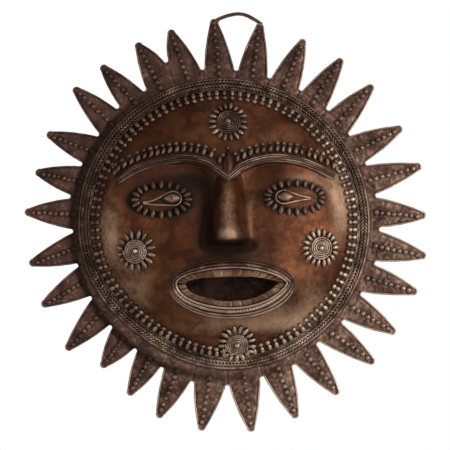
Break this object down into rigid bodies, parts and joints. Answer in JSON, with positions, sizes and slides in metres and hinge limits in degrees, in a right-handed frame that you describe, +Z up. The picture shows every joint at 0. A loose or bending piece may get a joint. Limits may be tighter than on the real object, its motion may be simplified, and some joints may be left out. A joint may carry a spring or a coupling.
{
  "type": "sun-face wall mask",
  "caption": "Round cast-brass sun face for a wall: domed sheet with brows, nose and open mouth, beaded rim, pointed rays all round, and a wire hanging loop between the top rays.",
  "frame": {"origin": "inner crown of the hanging loop, on the wall plane that the rays' backs lie in", "axes": "+Z up, +X to the right of a person who looks at the face, +Y into the wall, so the face looks along -Y"},
  "size_m": [0.2807, 0.0502, 0.2933],
  "materials": {
    "face_brass": "dark brown patina, hand worn to warm brass on the high parts",
    "ray_brass": "matt dark brown patina with cast grain",
    "thread_brass": "brown patina with bright worn crests",
    "bead_brass": "worn bright on top, dark in the gaps",
    "tooth_brass": "worn brown brass",
    "mouth_brass": "nearly black unpolished casting skin"
  },
  "bodies": {
    "root": {"brow_beads": "bead_brass", "brow_left_wires": "thread_brass", "brow_right_wires": "thread_brass", "brow_seeds": "bead_brass", "eye_lashes": "bead_brass", "eye_left_rim": "thread_brass", "eye_pupils": "bead_brass", "eye_right_rim": "thread_brass", "face_shell": "face_brass", "forehead_leaf": "face_brass", "hanging_loop": "thread_brass", "lip_inner_wire": "thread_brass", "lip_outer_wire": "thread_brass", "lip_twisted_wire": "thread_brass", "mouth_pocket": "mouth_brass", "ray_01": "ray_brass", "ray_02": "ray_brass", "ray_03": "ray_brass", "ray_04": "ray_brass", "ray_05": "ray_brass", "ray_06": "ray_brass", "ray_07": "ray_brass", "ray_08": "ray_brass", "ray_09": "ray_brass", "ray_10": "ray_brass", "ray_11": "ray_brass", "ray_12": "ray_brass", "ray_13": "ray_brass", "ray_14": "ray_brass", "ray_15": "ray_brass", "ray_16": "ray_brass", "ray_17": "ray_brass", "ray_18": "ray_brass", "ray_19": "ray_brass", "ray_20": "ray_brass", "ray_21": "ray_brass", "ray_22": "ray_brass", "ray_23": "ray_brass", "ray_24": "ray_brass", "ray_25": "ray_brass", "ray_26": "ray_brass", "ray_27": "ray_brass", "ray_28": "ray_brass", "ray_29": "ray_brass", "ray_beads": "bead_brass", "ray_edge_wires": "thread_brass", "rim_braid_inner": "thread_brass", "rim_braid_outer": "thread_brass", "rim_flange": "ray_brass", "rim_inner_wires": "thread_brass", "rim_outer_wire": "thread_brass", "rim_round_beads": "bead_brass", "rim_seed_drops": "bead_brass", "roundel_cheek_left": "thread_brass", "roundel_cheek_right": "thread_brass", "roundel_chin": "thread_brass", "roundel_forehead": "thread_brass", "roundel_petals": "bead_brass", "teeth_lower": "tooth_brass", "teeth_upper": "tooth_brass"}
  },
  "joints": []
}
